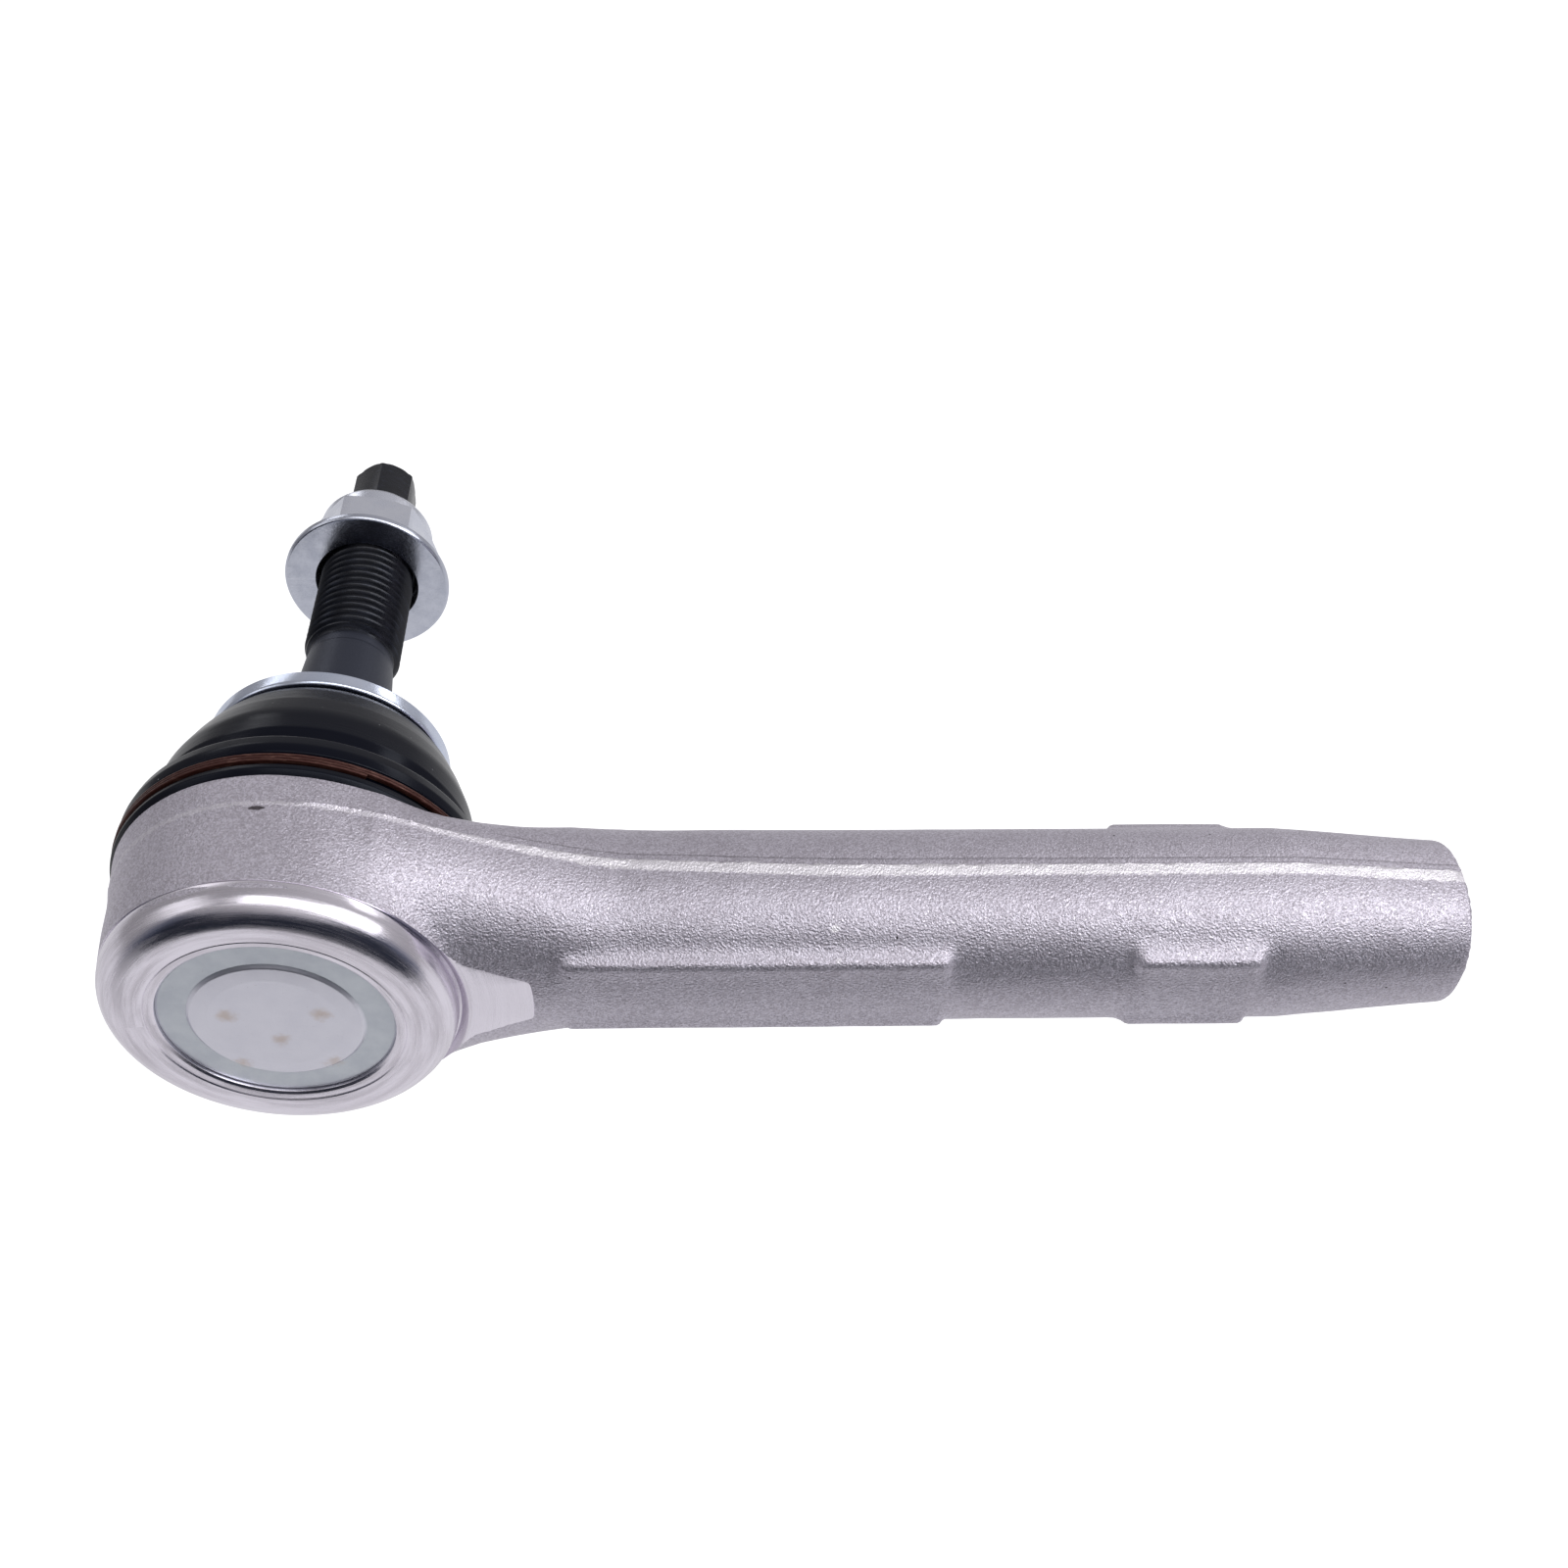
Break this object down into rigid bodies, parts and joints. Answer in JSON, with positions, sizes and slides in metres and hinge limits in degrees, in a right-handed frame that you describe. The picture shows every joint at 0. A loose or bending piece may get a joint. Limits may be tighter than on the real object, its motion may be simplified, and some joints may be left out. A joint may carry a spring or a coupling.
{
  "type": "tie rod end",
  "caption": "Steering tie rod end: a forged head with a booted ball stud, tapered seat, thread and self-locking nut, and a long shank with a threaded bore.",
  "frame": {"origin": "centre of the ball, on the axis of the shank", "axes": "+Z along the ball stud, away from the closing cap; +X along the shank, out of its threaded bore"},
  "size_m": [0.171, 0.0476, 0.112],
  "materials": {
    "blasted_aluminium": "shot-blasted forging, turned bright at the lip",
    "zinc_cap": "dull zinc plate",
    "bright_zinc": "bright bluish zinc plate",
    "phosphated_steel": "black phosphate",
    "boot_rubber": "satin black rubber",
    "brown_spring_wire": "dark red-brown coated spring wire",
    "spring_steel": "oiled spring steel",
    "bearing_plastic": "off-white acetal",
    "lock_plastic": "blue nylon"
  },
  "bodies": {
    "housing_body": {"housing": "blasted_aluminium", "closing_cap": "zinc_cap", "preload_spring": "spring_steel", "pressure_plate": "bearing_plastic", "ball_seat": "bearing_plastic", "base_clamp_ring": "brown_spring_wire"},
    "boot_body": {"dust_boot": "boot_rubber"},
    "neck_body": {"shield_washer": "bright_zinc", "neck_bush": "spring_steel", "neck_clamp_ring": "spring_steel"},
    "stud_body": {"ball_stud": "phosphated_steel"},
    "washer_body": {"nut_washer": "bright_zinc"},
    "nut_body": {"nut": "bright_zinc", "nut_lock_insert": "lock_plastic"}
  },
  "joints": [
    {"name": "lean_direction", "type": "hinge", "parent": "housing_body", "child": "boot_body", "pos_m": [0, 0, 0], "axis": [0, 0, 1], "continuous": true},
    {"name": "lean", "type": "hinge", "parent": "boot_body", "child": "neck_body", "pos_m": [0, 0, 0], "axis": [0, 1, 0], "range_deg": [-22, 22], "deforming": ["dust_boot"]},
    {"name": "stud_spin", "type": "hinge", "parent": "neck_body", "child": "stud_body", "pos_m": [0, 0, 0], "axis": [0, 0, 1], "continuous": true},
    {"name": "nut_travel", "type": "slide", "parent": "stud_body", "child": "washer_body", "axis": [0, 0, 1], "range_m": [-0.01655, 0.00905]},
    {"name": "nut_turn", "type": "hinge", "parent": "washer_body", "child": "nut_body", "pos_m": [0, 0, 0], "axis": [0, 0, 1], "range_deg": [-3960, 2160]}
  ],
  "couplings": [
    {"joint": "nut_travel", "follows": "nut_turn", "m_per_rad": 0.00023873}
  ]
}
